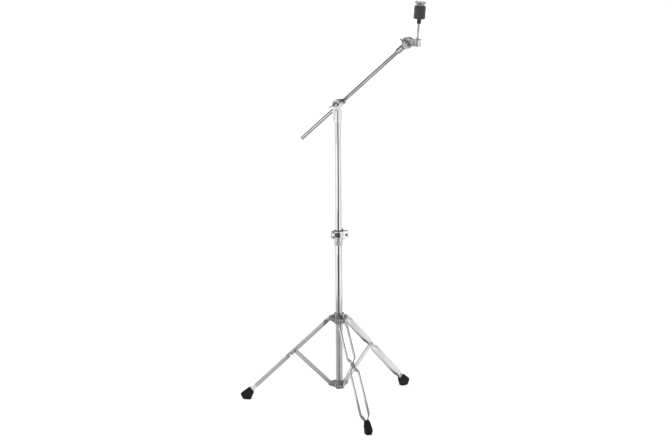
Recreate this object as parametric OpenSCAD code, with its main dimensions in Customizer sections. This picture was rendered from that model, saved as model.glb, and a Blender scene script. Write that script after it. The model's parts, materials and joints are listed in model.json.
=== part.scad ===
// Cymbal boom stand: folding tripod, two tubes, tilting boom and cymbal tilter.
// +Z is up and the origin is on the floor under the base tube's axis.

/* [Tripod] */
// Height of the middle of a foot's round end above the floor
foot_rest = 14.64; // [12:0.01:16.5]
// Height of the brace pivots on the fixed brace collar
brace_pivot_z = 72.5; // [60:0.5:90]
// Distance of both rings of pivots from the tube's axis
pivot_r = 30; // [28:0.5:36]
// Angle of the legs below the horizontal
leg_drop = 43.9; // [38:0.1:50]
// Leg length, from its pivot to the middle of the rubber foot
leg_len = 400; // [360:1:440]
// Distance from the leg's pivot to its waist, where the brace is riveted
waist_at = 166.5; // [140:0.5:190]
// Direction of the first leg, anticlockwise from +X
leg_turn = -74; // [-90:1:-30]

/* [Flat strips] */
// Width of the leg and brace strips
strip_w = 14.5; // [10:0.5:16]
// Thickness of the leg and brace strips
strip_t = 3; // [2:0.1:4]
// Spacing of a leg's two strips, middle to middle, along its upper part
upper_gap = 25; // [22:0.5:30]
// Spacing of a leg's two strips along its lower part
lower_gap = 27; // [24:0.5:34]
// Spacing of a leg's two strips where they enter the rubber foot
foot_gap = 9.2; // [8:0.2:11]
// Spacing of a leg's two strips on the leg collar's ear
ear_gap = 13; // [11:0.5:16]
// Radius of the rivets
rivet_r = 3; // [2.5:0.1:3.5]

/* [Tubes] */
// Outer diameter of the base tube
base_d = 25.4; // [25:0.1:28]
// Outer diameter of the upper tube
upper_d = 22.2; // [20:0.1:22.4]
// Outer diameter of the boom tube
boom_d = 12.7; // [10:0.1:14]
// Wall of all three tubes
tube_wall = 1.2; // [1:0.1:1.4]
// Height of the base tube's mouth
base_top = 550; // [450:1:650]
// Length of the upper tube
upper_len = 536; // [450:1:600]
// Length of the upper tube that stays inside the base tube
upper_inside = 120; // [80:1:160]

/* [Collars] */
// Outer diameter of both tripod collars
collar_d = 33; // [32:0.5:36]
// Height of the sliding leg collar
leg_collar_h = 36; // [30:1:44]
// Height of the fixed brace collar
brace_collar_h = 24; // [18:1:30]

/* [Height clamp] */
// Turn of the clamp about the tubes
clamp_turn = 17; // [-30:1:30]
// Outer diameter of the clamp's ring
clamp_d = 35; // [34.5:0.5:40]
// Height of the clamp's split ring
clamp_h = 24; // [22:1:30]
// Height of the cup that sits on the base tube
cup_h = 23; // [18:1:30]
// Distance of the clamp bolt from the tubes' axis
clamp_bolt_x = 23; // [22:0.5:28]

/* [Boom] */
// Height of the boom's pivot above the upper tube's top
boom_rise = 21.6; // [20:0.1:30]
// Turn of the boom towards -Y
boom_turn = 26; // [0:1:60]
// Angle of the boom above the horizontal
boom_lean = 40.6; // [0:0.1:60]
// Distance of the boom's axis behind the upper tube's axis
boom_back = 25.5; // [25:0.5:32]
// Boom tube from the pivot to its tail end
boom_tail = 183; // [120:1:260]
// Boom from the pivot to the tilter's axis
boom_reach = 302; // [220:1:380]
// Diameter of the toothed discs at the boom's pivot
boom_disc_d = 31; // [29:0.5:33]
// Teeth on each toothed disc
teeth = 30; // [20:2:36]

/* [Tilter and cymbal seat] */
// Diameter of the tilter's toothed discs
tilter_disc_d = 38; // [34:0.5:42]
// Distance of the cymbal rod from the tilter's axis
rod_offset = 31.5; // [30:0.5:38]
// Lean of the cymbal rod away from the vertical
rod_lean = 4.6; // [0:0.1:10]
// Diameter of the cymbal rod
rod_d = 8; // [6:0.5:9]
// Length of the cymbal rod above the middle of its boss
rod_top = 127; // [120:1:150]
// Height of the seat's shoulder above the middle of the rod's boss
seat_z = 73; // [66:1:80]
// Diameter of the felts
felt_d = 37; // [30:0.5:45]
// Thickness of each felt
felt_h = 20.5; // [12:0.5:21]

/* [Hidden] */
$fn = 64;
slide_fit = 0.06;
fixed_fit = 0.02;
face_gap = 0.1;
strip_gap = 0.35;

leg_pivot_z = foot_rest + leg_len * sin(leg_drop);
ear_t = ear_gap - strip_t - 2 * strip_gap;
waist_gap = 2 * strip_t + 2 * strip_gap;
clevis_gap = strip_t + 2 * strip_gap;
cheek_t = 4;
head_r = 5.5;
head_h = 2;
waist_stub_z = (waist_gap - strip_t) / 2;
waist_r = pivot_r + waist_at * cos(leg_drop);
waist_z = leg_pivot_z - waist_at * sin(leg_drop);
brace_len = norm([waist_r - pivot_r, waist_z - brace_pivot_z]);
brace_rise = atan2(waist_z - brace_pivot_z, waist_r - pivot_r);
base_bottom = brace_pivot_z - brace_collar_h / 2 + 1;

lock_turn = leg_turn + 180;
lock_boss_r = 8;
lock_boss_end = collar_d / 2 + 8;
lock_screw_r = 4;
lock_wing = [44, 17, 7.5, 4];
lock_wing_turn = 25;
wing_low = 1;

foot_sink = 30;
foot_len = 46.5;
foot_toe = [35.5, 8];
foot_toe_r = 7.5;
foot_heel = [31, -22];
foot_t = 18;
foot_neck_t = foot_gap + strip_t + 2.3;
foot_neck_w = strip_w + 4;
foot_neck_h = 6;
foot_shoulder_w = foot_neck_w + 5.5;
foot_chamfer = 2.5;
ear_flat = 7;
ear_bend = 19;
waist_flat_above = 9;
waist_bend_above = 14;
waist_flat_below = 12;
waist_bend_below = 17;
foot_flat = 2;
foot_bend = 22;
strip_end = leg_len - 4;
foot_top = leg_len - foot_sink;

cup_z = base_top - cup_h + 6;
ring_z = cup_z + cup_h;
bush_lip = 1.5;
bush_r = upper_d / 2 + slide_fit;
ring_bore = upper_d / 2 + 2.85;
clamp_bolt_r = 3.5;
clamp_bolt_z = ring_z + clamp_h / 2 - 1;
hinge_x = clamp_d / 2 + 5;
hinge_r = 4.5;
hinge_pin_r = 2;
knuckle_h = clamp_h / 2;
lug_reach = 7.5;
split = 1;
rear_lug = 9;
jaw_lug = 13;
cup_wall = 1.2;
clamp_bolt_spare = 20;
clamp_head_r = 5.2;
clamp_head_h = 3.8;
clamp_washer_r = 7.4;
clamp_wing = [44, 18, 7.5, 4.5];
clamp_wing_turn = 76;
inlay_w = 17.5;
inlay_h = 15;
inlay_t = 0.8;
inlay_turn = -30;

upper_z = base_top - upper_inside;
upper_top = upper_z + upper_len;
boom_z = upper_top + boom_rise;
yoke_r = upper_d / 2 + 2.4;
yoke_h = 37;
yoke_top = upper_top + 2;
yoke_front = 13;
yoke_back = -3;
slab_w = 26;
holder_r = 10;
holder_back = 22;
holder_front = 11;
holder_neck = 20;
disc_t = 8;
liner_wall = 1.2;
boom_bolt_r = 4;
boom_nut_h = 18;
washer_t = 1.6;
tooth_h = 0.7;
tooth_root = 0.2;
tooth_margin = 0.4;
boom_tooth_len = 5.6;
boom_washer_r = 9;
boom_wing = [45, boom_nut_h, 7.5, 4.5];
boom_wing_turn = 31;
holder_face = yoke_back + 2 * tooth_h + face_gap;
liner_r = boom_d / 2 + slide_fit + liner_wall;
bolt_root = boom_back - liner_r - 3;

socket_r = 10;
socket_len = 23.5;
socket_end = boom_reach - tilter_disc_d / 2 - 1.5;
boom_end = socket_end - 5;
socket_screw_x = socket_end - socket_len + 7;
tilter_bolt_r = 3;
tilter_nut_h = 15;
tilter_wing = [44, tilter_nut_h, 6.5, 4];
tilter_wing_turn = -34;
tilter_washer_r = 8;
tilter_bolt_head_r = 5.8;
tilter_bolt_head_h = 4;
tilter_tooth_len = 7.6;
socket_block = 12;
socket_screw_r = 2.5;
rod_screw_r = 3;
screw_sink = 0.4;
screw_gap = 0.05;
arm_root = 8;
tilter_face = tooth_h + face_gap / 2;
tilter_front = tilter_face + disc_t - 1;
boss_d = 24;
boss_h = 24;
boss_z = 4;
sleeve_r = 5;
sleeve_shoulder_r = 6.7;
sleeve_shoulder_h = 15;
sleeve_short = 1.5;
nut_flange_r = 11;
nut_flange_h = 2.5;
nut_hub_r = 8.5;
nut_hub_h = 4.5;
nut_wing_t = 4.4;

// ---------- places ----------

// Leg k's upright plane: +X points away from the tube.
module leg_plane(k) {
    rotate([0, 0, leg_turn + 120 * k]) children();
}

// Along leg k: the origin is its pivot and +X runs down to the foot.
module leg_line(k) {
    leg_plane(k) translate([pivot_r, 0, leg_pivot_z]) rotate([0, leg_drop, 0]) children();
}

// Along brace k: the origin is its pivot and +X runs up to the waist.
module brace_line(k) {
    leg_plane(k) translate([pivot_r, 0, brace_pivot_z]) rotate([0, -brace_rise, 0]) children();
}

module clamp_place() {
    rotate([0, 0, clamp_turn]) children();
}

// The boom's pivot: +X is the boom's direction seen from above, -Y the wing nut's side.
module boom_place() {
    translate([0, 0, boom_z]) rotate([0, 0, -boom_turn]) children();
}

// Along the boom's own axis, towards the tilter.
module boom_line() {
    boom_place() translate([0, boom_back, 0]) rotate([0, -boom_lean, 0]) children();
}

// The tilter's axis: +Z runs up along the cymbal rod.
module tilter_place() {
    boom_line() translate([boom_reach, 0, 0]) rotate([0, boom_lean + rod_lean, 0]) children();
}

// Along the cymbal rod, from the middle of its boss.
module rod_place() {
    tilter_place() translate([rod_offset, 0, boss_z]) children();
}

// ---------- shared shapes ----------

// A cylinder along Y, from y0 to y1.
module rod_y(r, y0, y1) {
    translate([0, y1, 0]) rotate([90, 0, 0]) cylinder(r = r, h = y1 - y0);
}

module tube(d, z0, z1, wall) {
    translate([0, 0, z0]) difference() {
        cylinder(d = d, h = z1 - z0);
        translate([0, 0, -1]) cylinder(d = d - 2 * wall, h = z1 - z0 + 2);
    }
}

// The point where a line from p touches the circle of radius r about c.
function touch(c, r, p) =
    let (v = p - c, g = atan2(v[1], v[0]) - acos(r / norm(v)))
    c + r * [cos(g), sin(g)];

// A tapered lug in the XZ plane, from a root at x0 to a round end at x1.
module lug(x0, half_h, x1, end_r, width) {
    top = touch([x1, 0], end_r, [x0, half_h]);
    rotate([90, 0, 0]) translate([0, 0, -width / 2]) linear_extrude(width) {
        polygon([[x0, -half_h], [top[0], -top[1]], top, [x0, half_h]]);
        translate([x1, 0]) circle(r = end_r);
    }
}

// A rivet along Y with a head at each end of its grip.
module rivet(grip) {
    rod_y(rivet_r, -grip / 2, grip / 2);
    for (side = [-1, 1])
        rotate([90 * side, 0, 0]) translate([0, 0, grip / 2]) rivet_head();
}

module rivet_head() {
    cylinder(r = head_r, h = head_h / 2);
    translate([0, 0, head_h / 2]) cylinder(r1 = head_r, r2 = head_r - 1.6, h = head_h / 2);
}

// A wing nut along +Z: a round boss and two swept wings in the XZ plane.
// size is [span, height, boss radius, wing thickness].
module wing_nut(size, bore_r) {
    span = size[0];
    h = size[1];
    boss_r = size[2];
    wing_t = size[3];
    tip_r = h * 0.27;
    difference() {
        union() {
            cylinder(r = boss_r, h = h * 0.45);
            translate([0, 0, h * 0.45]) cylinder(r1 = boss_r, r2 = boss_r * 0.78, h = h * 0.3);
            for (turn = [0, 180])
                rotate([0, 0, turn]) wing(span / 2, h, boss_r, wing_t, tip_r);
        }
        translate([0, 0, -1]) cylinder(r = bore_r, h = h + 2);
    }
}

module wing(reach, h, boss_r, wing_t, tip_r) {
    rotate([90, 0, 0]) translate([0, 0, -wing_t / 2]) linear_extrude(wing_t) {
        polygon([
            [boss_r * 0.86, wing_low], [reach - tip_r, h - 2 * tip_r],
            [reach, h - tip_r], [reach - tip_r * 1.4, h - tip_r * 0.1],
            [boss_r * 0.86, h * 0.62]
        ]);
        translate([reach - tip_r, h - tip_r]) circle(r = tip_r);
    }
}

// A ring of radial teeth on the XY plane round a disc of diameter d, proud by tooth_h.
module disc_teeth(d, tooth_len) {
    for (k = [0 : teeth - 1])
        rotate([0, 0, 360 * k / teeth])
            translate([d / 2 - tooth_margin - tooth_len, 0, 0]) rotate([90, 0, 90])
                linear_extrude(tooth_len)
                    polygon([[-tooth_h, -tooth_root], [tooth_h, -tooth_root], [0, tooth_h]]);
}

// ---------- tubes ----------

module base_tube() {
    color("gainsboro") tube(base_d, base_bottom, base_top, tube_wall);
}

module base_tube_plug() {
    color("#28282c") {
        translate([0, 0, base_bottom - 4]) cylinder(d = base_d, h = 4);
        translate([0, 0, base_bottom]) cylinder(d = base_d - 2 * tube_wall - 2 * fixed_fit, h = 12);
    }
}

module upper_tube() {
    color("gainsboro") tube(upper_d, upper_z, upper_top, tube_wall);
}

// ---------- tripod ----------

// The clevis for one brace: two cheeks with the brace's slot between them.
module brace_clevis() {
    difference() {
        lug(base_d / 2 + 0.5, brace_collar_h / 2, pivot_r, strip_w / 2, clevis_gap + 2 * cheek_t);
        translate([collar_d / 2 + 1, -clevis_gap / 2, -brace_collar_h])
            cube([pivot_r, clevis_gap, 2 * brace_collar_h]);
    }
}

module brace_collar() {
    color("#8c8c84") difference() {
        union() {
            translate([0, 0, brace_pivot_z - brace_collar_h / 2])
                cylinder(d = collar_d, h = brace_collar_h);
            for (k = [0 : 2]) leg_plane(k) translate([0, 0, brace_pivot_z]) brace_clevis();
        }
        translate([0, 0, base_bottom - 10])
            cylinder(r = base_d / 2 + fixed_fit, h = brace_collar_h + 30);
        for (k = [0 : 2])
            leg_plane(k) translate([pivot_r, 0, brace_pivot_z]) rod_y(rivet_r + fixed_fit, -20, 20);
    }
}

module brace_collar_rivets() {
    color("#a8a8a6") for (k = [0 : 2])
        leg_plane(k) translate([pivot_r, 0, brace_pivot_z]) rivet(clevis_gap + 2 * cheek_t);
}

// The lock screw's line: +Z points out from the tube between two legs.
module lock_line() {
    rotate([0, 0, lock_turn]) translate([0, 0, leg_pivot_z]) rotate([0, 90, 0]) children();
}

module leg_collar() {
    color("#8c8c84") difference() {
        union() {
            translate([0, 0, leg_pivot_z - leg_collar_h / 2 + 1])
                cylinder(d = collar_d, h = leg_collar_h);
            for (k = [0 : 2])
                leg_plane(k) translate([0, 0, leg_pivot_z])
                    lug(base_d / 2 + 0.5, leg_collar_h / 2 - 2, pivot_r, strip_w / 2, ear_t);
            lock_line() cylinder(r = lock_boss_r, h = lock_boss_end);
        }
        translate([0, 0, leg_pivot_z - leg_collar_h])
            cylinder(r = base_d / 2 + slide_fit, h = 2 * leg_collar_h);
        lock_line() cylinder(r = lock_screw_r + slide_fit, h = lock_boss_end + 1);
        for (k = [0 : 2])
            leg_plane(k) translate([pivot_r, 0, leg_pivot_z]) rod_y(rivet_r + slide_fit, -20, 20);
    }
}

module leg_lock_screw() {
    color("#b4b4b4") lock_line() {
        translate([0, 0, base_d / 2 + 0.4]) cylinder(r = lock_screw_r, h = lock_boss_end - 6);
        translate([0, 0, lock_boss_end + 1]) rotate([0, 0, lock_wing_turn])
            wing_nut(lock_wing, lock_screw_r + fixed_fit);
    }
}

// Share of a bend done at x, easing from 0 at x0 to 1 at x1.
function eased(x, x0, x1) =
    let (t = max(0, min(1, (x - x0) / (x1 - x0)))) t * t * (3 - 2 * t);

// The leg's four bends, each [start, end, change of half spacing].
leg_bends = [
    [ear_flat, ear_flat + ear_bend, (upper_gap - ear_gap) / 2],
    [waist_at - waist_flat_above - waist_bend_above, waist_at - waist_flat_above,
     (waist_gap - upper_gap) / 2],
    [waist_at + waist_flat_below, waist_at + waist_flat_below + waist_bend_below,
     (lower_gap - waist_gap) / 2],
    [foot_top - foot_flat - foot_bend, foot_top - foot_flat, (foot_gap - lower_gap) / 2]
];

// Distance of a strip's middle from the leg's own plane, x along the leg.
function strip_y(x, i = 0) =
    i == len(leg_bends) ? ear_gap / 2
    : strip_y(x, i + 1) + leg_bends[i][2] * eased(x, leg_bends[i][0], leg_bends[i][1]);

strip_stations = concat(
    [0], [for (b = leg_bends) for (i = [0 : 6]) b[0] + (b[1] - b[0]) * i / 6], [strip_end]);

// A point half a thickness off the strip's middle, square to it.
function strip_edge(x, side) =
    let (slope = (strip_y(x + 0.01) - strip_y(x - 0.01)) / 0.02)
    [x, strip_y(x)] + side * strip_t / 2 / sqrt(1 + slope * slope) * [-slope, 1];

// One bent strip of a leg; side is 1 or -1.
module leg_strip(k, side) {
    n = len(strip_stations);
    outer = [for (x = strip_stations) strip_edge(x, 1)];
    inner = [for (i = [n - 1 : -1 : 0]) strip_edge(strip_stations[i], -1)];
    color("#c6c6c8") leg_line(k) mirror([0, side < 0 ? 1 : 0, 0]) difference() {
        union() {
            translate([0, 0, -strip_w / 2]) linear_extrude(strip_w)
                polygon(concat(outer, inner));
            translate([0, ear_gap / 2, 0]) rod_y(strip_w / 2, -strip_t / 2, strip_t / 2);
        }
        for (x = [0, waist_at])
            translate([x, 0, 0]) rod_y(rivet_r + fixed_fit, 0, ear_gap);
    }
}

// The top rivet, and at the waist a short stub in each strip.
module leg_rivets(k) {
    color("#a8a8a6") leg_line(k) {
        rivet(ear_gap + strip_t);
        for (side = [-1, 1]) translate([waist_at, 0, 0]) rotate([90 * side, 0, 0]) {
            translate([0, 0, waist_stub_z]) cylinder(r = rivet_r, h = strip_t);
            translate([0, 0, waist_stub_z + strip_t]) rivet_head();
        }
    }
}

module brace(k) {
    color("#c6c6c8") brace_line(k) difference() {
        union() {
            translate([0, -strip_t / 2, -strip_w / 2]) cube([brace_len, strip_t, strip_w]);
            for (x = [0, brace_len])
                translate([x, 0, 0]) rod_y(strip_w / 2, -strip_t / 2, strip_t / 2);
        }
        rod_y(rivet_r + slide_fit, -strip_t, strip_t);
        translate([brace_len, 0, 0]) rod_y(rivet_r + slide_fit, -strip_t, strip_t);
    }
}

// The rubber foot: a fan that widens from its neck, cut flat where it stands on the floor.
module foot(k) {
    neck = foot_neck_w / 2;
    shoulder = foot_shoulder_w / 2;
    half_neck = foot_neck_t / 2;
    half_end = foot_t / 2;
    color("#28282c") intersection() {
        leg_line(k) translate([foot_top, 0, 0]) difference() {
            intersection() {
                rotate([90, 0, 0]) translate([0, 0, -foot_t]) linear_extrude(2 * foot_t) {
                    polygon([
                        [0, -neck], [foot_neck_h, -neck], [foot_neck_h, -shoulder],
                        foot_heel, [foot_len, foot_heel[1]], [foot_len, -foot_toe_r],
                        foot_toe + [foot_toe_r, 0], foot_toe, foot_toe + [0, foot_toe_r],
                        [foot_neck_h, shoulder], [foot_neck_h, neck], [0, neck]
                    ]);
                    translate(foot_toe) circle(r = foot_toe_r);
                }
                translate([0, 0, -foot_len]) linear_extrude(2 * foot_len) {
                    polygon([
                        [0, -half_neck], [foot_neck_h, -half_neck], [foot_neck_h, -half_neck - 1],
                        [foot_len - foot_chamfer, -half_end], [foot_len, -half_end + foot_chamfer],
                        [foot_len, half_end - foot_chamfer], [foot_len - foot_chamfer, half_end],
                        [foot_neck_h, half_neck + 1], [foot_neck_h, half_neck], [0, half_neck]
                    ]);
                }
            }
            for (side = [-1, 1])
                translate([-1, side * foot_gap / 2 - strip_t / 2 - fixed_fit,
                           -strip_w / 2 - fixed_fit])
                    cube([strip_end - foot_top + 1 + fixed_fit, strip_t + 2 * fixed_fit,
                          strip_w + 2 * fixed_fit]);
        }
        translate([-leg_len, -leg_len, 0]) cube([2 * leg_len, 2 * leg_len, leg_len]);
    }
}

// ---------- height clamp ----------

// Plan of one half of the clamp: side 1 is the fixed rear half, -1 the hinged front jaw.
module clamp_plan(side, lug_t) {
    difference() {
        union() {
            circle(d = clamp_d);
            translate([0, side > 0 ? 0 : -lug_t]) square([clamp_bolt_x + lug_reach, lug_t]);
        }
        circle(r = ring_bore);
        translate([-clamp_d, side > 0 ? split - 2 * clamp_d : -split])
            square([3 * clamp_d, 2 * clamp_d]);
    }
}

// A hinge knuckle from z0 to z1 with its web to the ring.
module knuckle(side, z0, z1) {
    translate([-hinge_x, 0, z0]) cylinder(r = hinge_r, h = z1 - z0);
    translate([-hinge_x, side > 0 ? split : -hinge_r, z0])
        cube([hinge_x - ring_bore - 1.5, hinge_r - split, z1 - z0]);
}

module clamp_holes() {
    translate([clamp_bolt_x, 0, clamp_bolt_z]) rod_y(clamp_bolt_r + fixed_fit, -clamp_d, clamp_d);
    translate([-hinge_x, 0, ring_z - 1]) cylinder(r = hinge_pin_r + fixed_fit, h = clamp_h + 2);
}

// The cup on the base tube's mouth and the rear half of the clamp, one casting.
module clamp_socket() {
    cup_r = clamp_d / 2;
    neck_r = base_d / 2 + cup_wall;
    color("#9a9a98") clamp_place() difference() {
        union() {
            rotate_extrude()
                polygon([
                    [base_d / 2 + fixed_fit, cup_z], [neck_r, cup_z], [neck_r + 1, cup_z + 2],
                    [cup_r - 0.5, cup_z + cup_h * 0.62], [cup_r, cup_z + cup_h * 0.75],
                    [cup_r, ring_z], [ring_bore, ring_z], [ring_bore, base_top],
                    [base_d / 2 + fixed_fit, base_top]
                ]);
            translate([0, 0, ring_z]) linear_extrude(clamp_h) clamp_plan(1, rear_lug);
            knuckle(1, ring_z, ring_z + knuckle_h / 2);
            knuckle(1, ring_z + clamp_h - knuckle_h / 2, ring_z + clamp_h);
        }
        clamp_holes();
    }
}

// The inlay's shape in the jaw's outer face, loose on every side.
module inlay_shape(loose) {
    intersection() {
        translate([0, 0, ring_z + (clamp_h - inlay_h) / 2 - loose]) difference() {
            cylinder(d = clamp_d + 2 * loose, h = inlay_h + 2 * loose);
            translate([0, 0, -1])
                cylinder(d = clamp_d - 2 * inlay_t - 2 * loose, h = inlay_h + 2 * loose + 2);
        }
        rotate([0, 0, inlay_turn])
            translate([-inlay_w / 2 - loose, -clamp_d, ring_z])
                cube([inlay_w + 2 * loose, clamp_d, clamp_h]);
    }
}

// A plain dark plate let into the jaw's outer face.
module clamp_inlay() {
    color("#303234") clamp_place() inlay_shape(0);
}

module clamp_jaw() {
    z0 = ring_z + knuckle_h / 2 + face_gap;
    color("#a4a4a2") clamp_place() difference() {
        union() {
            translate([0, 0, ring_z + face_gap])
                linear_extrude(clamp_h - face_gap) clamp_plan(-1, jaw_lug);
            knuckle(-1, z0, ring_z + clamp_h - knuckle_h / 2 - face_gap);
        }
        clamp_holes();
        inlay_shape(fixed_fit);
    }
}

module clamp_hinge_pin() {
    color("#7c7c7c") clamp_place() translate([-hinge_x, 0, ring_z - 0.5])
        cylinder(r = hinge_pin_r, h = clamp_h + 1);
}

module clamp_bolt() {
    color("#8c8c8c") clamp_place() translate([clamp_bolt_x, 0, clamp_bolt_z]) {
        rod_y(clamp_bolt_r, -jaw_lug, rear_lug + clamp_bolt_spare);
        translate([0, -jaw_lug, 0]) rotate([90, 0, 0]) {
            cylinder(r = clamp_head_r, h = clamp_head_h * 0.6);
            translate([0, 0, clamp_head_h * 0.6])
                cylinder(r1 = clamp_head_r, r2 = clamp_head_r * 0.65, h = clamp_head_h * 0.4);
        }
    }
}

module washer_y(r, bore, y0, y1) {
    difference() {
        rod_y(r, y0, y1);
        rod_y(bore, y0 - 1, y1 + 1);
    }
}

module clamp_washer() {
    color("#b0b0b0") clamp_place() translate([clamp_bolt_x, 0, clamp_bolt_z])
        washer_y(clamp_washer_r, clamp_bolt_r + fixed_fit, rear_lug, rear_lug + washer_t);
}

module clamp_wing_nut() {
    color("#a8a8a4") clamp_place()
        translate([clamp_bolt_x, rear_lug + washer_t + face_gap, clamp_bolt_z])
            rotate([-90, 0, 0]) rotate([0, 0, clamp_wing_turn])
                wing_nut(clamp_wing, clamp_bolt_r + slide_fit);
}

// The nylon bushing between the clamp's ring and the upper tube.
module tube_bushing() {
    color("#1e1e20") difference() {
        union() {
            translate([0, 0, base_top + face_gap])
                cylinder(r = ring_bore - slide_fit, h = ring_z + clamp_h - base_top);
            translate([0, 0, ring_z + clamp_h + face_gap])
                cylinder(r = ring_bore + 1.2, h = bush_lip);
        }
        translate([0, 0, base_top - 1]) cylinder(r = bush_r, h = clamp_h + 30);
    }
}

// ---------- boom clamp ----------

// The yoke: a blind collar on the upper tube, a slab in front and the fixed toothed disc.
module boom_yoke() {
    slab_front = yoke_front - 1.5;
    color("#a0a09e") rotate([0, 0, -boom_turn]) difference() {
        union() {
            translate([0, 0, yoke_top - yoke_h]) cylinder(r = yoke_r, h = yoke_h);
            translate([-slab_w / 2, -slab_front, yoke_top - yoke_h])
                cube([slab_w, slab_front + yoke_back, yoke_h + boom_z - yoke_top]);
            translate([0, 0, boom_z]) {
                rod_y(boom_disc_d / 2, -yoke_front, yoke_back);
                translate([0, yoke_back, 0]) rotate([-90, 0, 0])
                    disc_teeth(boom_disc_d, boom_tooth_len);
            }
        }
        translate([0, 0, yoke_top - yoke_h - 1])
            cylinder(r = upper_d / 2 + fixed_fit, h = upper_top - yoke_top + yoke_h + 1);
        translate([0, 0, boom_z]) rod_y(boom_bolt_r + slide_fit, -20, 20);
    }
}

// The holder: the turning toothed disc and the sleeve that the boom runs through.
module boom_holder() {
    color("#8e8e8a") difference() {
        union() {
            boom_place() {
                rod_y(boom_disc_d / 2, holder_face, holder_face + disc_t);
                translate([0, holder_face, 0]) rotate([90, 360 / teeth / 2, 0])
                    disc_teeth(boom_disc_d, boom_tooth_len);
            }
            boom_line() {
                translate([-holder_neck / 2, holder_face + disc_t - 1 - boom_back, -holder_neck / 2])
                    cube([holder_neck, boom_back - holder_face - disc_t + 1, holder_neck]);
                translate([-holder_back, 0, 0]) rotate([0, 90, 0])
                    cylinder(r = holder_r, h = holder_back + holder_front);
            }
        }
        boom_line() translate([-holder_back - 1, 0, 0]) rotate([0, 90, 0])
            cylinder(r = liner_r + slide_fit, h = holder_back + holder_front + 2);
        boom_place() rod_y(boom_bolt_r + fixed_fit, holder_face - 2, bolt_root);
    }
}

module holder_liner() {
    color("#1e1e20") boom_line() translate([-holder_back, 0, 0]) rotate([0, 90, 0])
        difference() {
            cylinder(r = liner_r, h = holder_back + holder_front);
            translate([0, 0, -1])
                cylinder(r = boom_d / 2 + slide_fit, h = holder_back + holder_front + 2);
        }
}

module boom_bolt() {
    color("#8c8c8c") boom_place()
        rod_y(boom_bolt_r, -yoke_front - washer_t - boom_nut_h + 2, bolt_root);
}

module boom_washer() {
    color("#b0b0b0") boom_place()
        washer_y(boom_washer_r, boom_bolt_r + fixed_fit,
                 -yoke_front - face_gap - washer_t, -yoke_front - face_gap);
}

module boom_wing_nut() {
    color("#a8a8a4") boom_place() translate([0, -yoke_front - washer_t - 2 * face_gap, 0])
        rotate([90, 0, 0]) rotate([0, 0, boom_wing_turn])
            wing_nut(boom_wing, boom_bolt_r + slide_fit);
}

module boom_tube() {
    color("gainsboro") boom_line() rotate([0, 90, 0])
        tube(boom_d, -boom_tail, boom_end, tube_wall);
}

module boom_tail_plug() {
    color("#28282c") boom_line() translate([-boom_tail, 0, 0]) rotate([0, 90, 0]) {
        translate([0, 0, -2]) cylinder(d = boom_d, h = 2);
        cylinder(d = boom_d - 2 * tube_wall - 2 * fixed_fit, h = 10);
    }
}

// ---------- tilter ----------

// The socket pinned on the boom's end, with its toothed disc behind.
module tilter_socket() {
    color("#9a9a98") boom_line() difference() {
        union() {
            translate([socket_end - socket_len, 0, 0]) rotate([0, 90, 0])
                cylinder(r = socket_r, h = socket_len);
            translate([socket_end - socket_block, tilter_face, -socket_r + 0.5])
                cube([boom_reach - socket_end + socket_block, disc_t, 2 * socket_r - 1]);
            translate([boom_reach, 0, 0]) {
                rod_y(tilter_disc_d / 2, tilter_face, tilter_face + disc_t);
                translate([0, tilter_face, 0]) rotate([90, 360 / teeth / 2, 0])
                    disc_teeth(tilter_disc_d, tilter_tooth_len);
            }
        }
        translate([socket_end - socket_len - 1, 0, 0]) rotate([0, 90, 0])
            cylinder(r = boom_d / 2 + fixed_fit, h = boom_end - socket_end + socket_len + 1);
        translate([boom_reach, 0, 0]) rod_y(tilter_bolt_r + fixed_fit, -20, 20);
        translate([socket_screw_x, 0, 0]) rod_y(socket_screw_r + fixed_fit, 0, 20);
    }
}

module socket_screw() {
    color("#3a3a3c") boom_line() translate([socket_screw_x, 0, 0])
        rod_y(socket_screw_r, boom_d / 2 + screw_gap, socket_r - screw_sink);
}

// The head: its toothed disc, a short arm and the upright boss that holds the rod.
module tilter_head() {
    color("#a0a09e") tilter_place() difference() {
        union() {
            rod_y(tilter_disc_d / 2, -tilter_face - disc_t + 1, -tilter_face);
            translate([0, -tilter_face, 0]) rotate([-90, 0, 0])
                disc_teeth(tilter_disc_d, tilter_tooth_len);
            translate([rod_offset, 0, boss_z - boss_h / 2]) cylinder(d = boss_d, h = boss_h);
            translate([arm_root, -tilter_face - disc_t + 1, boss_z - boss_h / 2 + 1])
                cube([rod_offset - arm_root, disc_t - 1, boss_h - 2]);
        }
        rod_y(tilter_bolt_r + slide_fit, -20, 20);
        translate([rod_offset, 0, boss_z - boss_h])
            cylinder(d = rod_d + 2 * fixed_fit, h = 2 * boss_h);
        translate([rod_offset, 0, boss_z]) rod_y(rod_screw_r + fixed_fit, 0, boss_d);
    }
}

module tilter_bolt() {
    color("#8c8c8c") boom_line() translate([boom_reach, 0, 0]) {
        rod_y(tilter_bolt_r, -tilter_front - washer_t - tilter_nut_h + 1.5, tilter_face + disc_t);
        translate([0, tilter_face + disc_t + tilter_bolt_head_h, 0]) rotate([90, 0, 0])
            cylinder(r = tilter_bolt_head_r, h = tilter_bolt_head_h, $fn = 6);
    }
}

module tilter_washer() {
    color("#b0b0b0") boom_line() translate([boom_reach, 0, 0])
        washer_y(tilter_washer_r, tilter_bolt_r + fixed_fit,
                 -tilter_front - face_gap - washer_t, -tilter_front - face_gap);
}

module tilter_wing_nut() {
    color("#a8a8a4") tilter_place() translate([0, -tilter_front - washer_t - 2 * face_gap, 0])
        rotate([90, 0, 0]) rotate([0, 0, tilter_wing_turn])
            wing_nut(tilter_wing, tilter_bolt_r + slide_fit);
}

// ---------- cymbal seat ----------

module cymbal_rod() {
    color("#b8b8ba") rod_place() translate([0, 0, -boss_h / 2])
        cylinder(d = rod_d, h = rod_top + boss_h / 2);
}

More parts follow.
